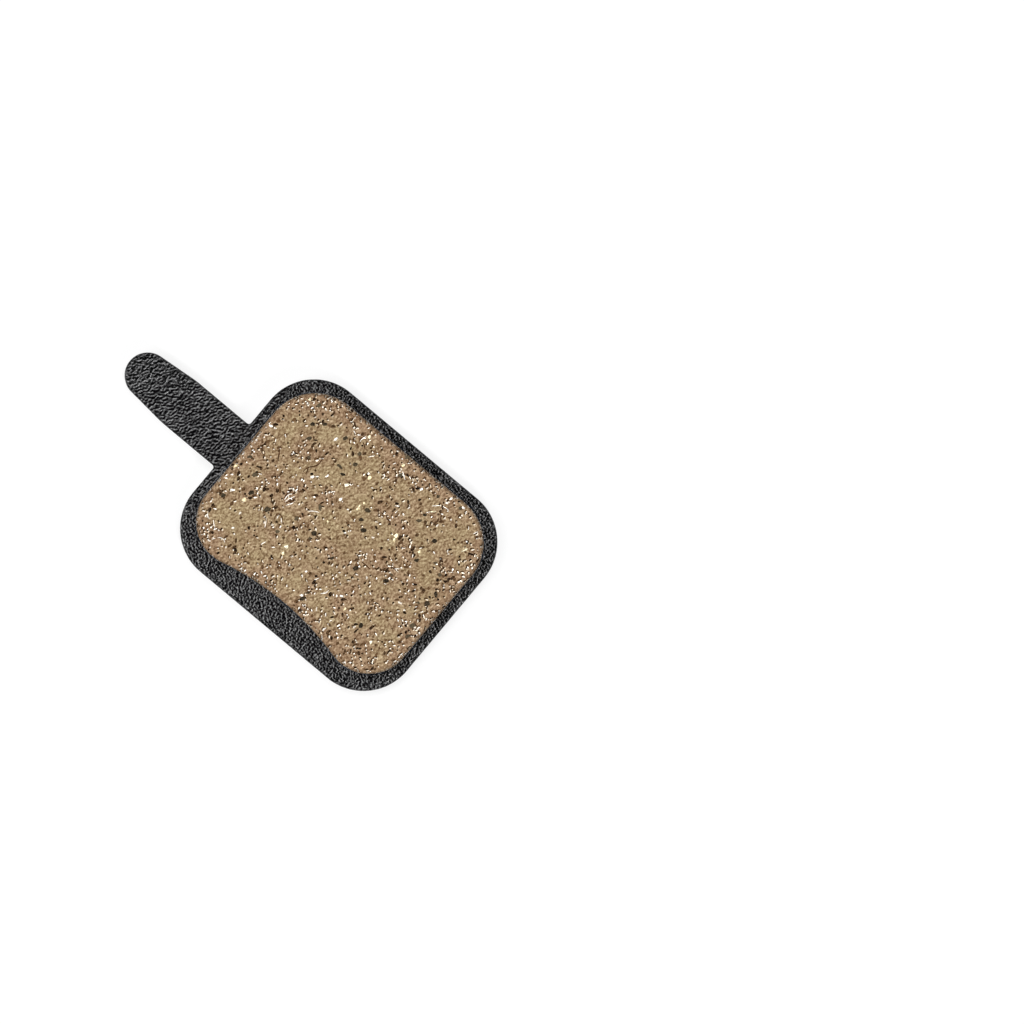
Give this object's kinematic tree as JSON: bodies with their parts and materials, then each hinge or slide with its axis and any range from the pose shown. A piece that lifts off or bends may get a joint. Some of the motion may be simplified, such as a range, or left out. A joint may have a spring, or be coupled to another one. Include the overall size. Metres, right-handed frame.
{
  "type": "disc brake pad",
  "caption": "Bicycle disc brake pad: a rounded black steel backing plate with a pull tab carries a moulded semi-metallic lining, hollowed on its hub side, that presses on the rotor.",
  "frame": {"origin": "centre of the plate body on the plate's back face", "axes": "+Z from the back face to the friction face, +Y along the pull tab, -X towards the wheel hub"},
  "size_m": [0.021, 0.0369, 0.004],
  "materials": {
    "coated_steel": "black wrinkled powder coat",
    "friction_compound": "ground matte compound with metal slivers, chips and dark grains"
  },
  "bodies": {
    "root": {"backing_plate": "coated_steel", "friction_lining": "friction_compound"}
  },
  "joints": []
}
